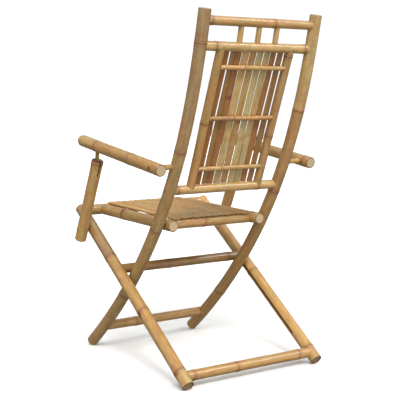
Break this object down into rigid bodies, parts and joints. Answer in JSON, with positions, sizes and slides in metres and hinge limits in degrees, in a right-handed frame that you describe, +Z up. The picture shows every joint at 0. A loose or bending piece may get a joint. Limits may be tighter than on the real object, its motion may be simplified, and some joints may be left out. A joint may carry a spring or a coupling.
{
  "type": "folding armchair",
  "caption": "Folding bamboo armchair with a slatted back and seat, bent front posts, crossed rear legs and armrests on pivoted supports.",
  "frame": {"origin": "centre of the bounding box, on the floor between the four feet", "axes": "+Z up, the sitter faces -Y, +X is the sitter's left"},
  "size_m": [0.5524, 0.6148, 0.9893],
  "materials": {
    "culm": "varnished bamboo, satin",
    "thin_bamboo": "varnished bamboo, satin",
    "back_slat": "split bamboo skin, satin",
    "seat_slat": "split bamboo skin, satin",
    "brass": "dull brass"
  },
  "bodies": {
    "back_frame": {"post_left": "culm", "post_right": "culm", "slide_pin_left": "brass", "slide_pin_right": "brass", "seat_pin_left": "brass", "seat_pin_right": "brass", "arm_dowel_left": "thin_bamboo", "arm_dowel_right": "thin_bamboo", "top_rail": "culm", "second_rail": "culm", "lower_back_rail": "culm", "foot_stretcher": "culm", "spindle_1": "thin_bamboo", "spindle_2": "thin_bamboo", "spindle_3": "thin_bamboo", "back_stile_left": "culm", "back_stile_right": "culm", "back_bar_1": "thin_bamboo", "back_bar_2": "thin_bamboo", "back_bar_3": "thin_bamboo", "back_slat_01": "back_slat", "back_slat_02": "back_slat", "back_slat_03": "back_slat", "back_slat_04": "back_slat", "back_slat_05": "back_slat", "back_slat_06": "back_slat", "back_slat_07": "back_slat", "back_slat_08": "back_slat", "back_slat_09": "back_slat"},
    "seat": {"seat_front_rail": "culm", "seat_rail_left": "culm", "seat_rail_right": "culm", "seat_rear_rail": "culm", "seat_bar_1": "thin_bamboo", "seat_bar_2": "thin_bamboo", "seat_slat_01": "seat_slat", "seat_slat_02": "seat_slat", "seat_slat_03": "seat_slat", "seat_slat_04": "seat_slat", "seat_slat_05": "seat_slat", "seat_slat_06": "seat_slat", "seat_slat_07": "seat_slat", "seat_slat_08": "seat_slat", "seat_slat_09": "seat_slat", "seat_slat_10": "seat_slat", "seat_slat_11": "seat_slat", "seat_slat_12": "seat_slat"},
    "leg_frame": {"pole_left": "culm", "pole_right": "culm", "middle_stretcher": "culm", "rear_stretcher": "culm"},
    "arm_left": {"armrest_left": "culm", "strap_left": "brass"},
    "support_left": {"arm_support_left": "culm", "lower_pin_left": "brass"},
    "arm_right": {"armrest_right": "culm", "strap_right": "brass"},
    "support_right": {"arm_support_right": "culm", "lower_pin_right": "brass"}
  },
  "joints": [
    {"name": "seat_fold", "type": "hinge", "parent": "back_frame", "child": "seat", "pos_m": [0, 0.06965, 0.4103], "axis": [-1, 0, 0], "range_deg": [0, 102]},
    {"name": "leg_fold", "type": "hinge", "parent": "seat", "child": "leg_frame", "pos_m": [0, -0.28618, 0.42117], "axis": [1, 0, 0], "range_deg": [0, 27]},
    {"name": "arm_fold_left", "type": "hinge", "parent": "back_frame", "child": "arm_left", "pos_m": [0.2586, 0.16378, 0.579], "axis": [-1, 0, 0], "range_deg": [0, 102]},
    {"name": "support_fold_left", "type": "hinge", "parent": "arm_left", "child": "support_left", "pos_m": [0.2586, -0.13636, 0.56793], "axis": [1, 0, 0], "range_deg": [0, 102]},
    {"name": "arm_fold_right", "type": "hinge", "parent": "back_frame", "child": "arm_right", "pos_m": [-0.2586, 0.16378, 0.579], "axis": [-1, 0, 0], "range_deg": [0, 102]},
    {"name": "support_fold_right", "type": "hinge", "parent": "arm_right", "child": "support_right", "pos_m": [-0.2586, -0.13636, 0.56793], "axis": [1, 0, 0], "range_deg": [0, 102]}
  ],
  "couplings": [
    {"joint": "leg_fold", "follows": "seat_fold", "ratio": 0.25543},
    {"joint": "arm_fold_left", "follows": "seat_fold", "ratio": 0.99462},
    {"joint": "support_fold_left", "follows": "seat_fold", "ratio": 0.98903},
    {"joint": "arm_fold_right", "follows": "seat_fold", "ratio": 0.99462},
    {"joint": "support_fold_right", "follows": "seat_fold", "ratio": 0.98903}
  ]
}
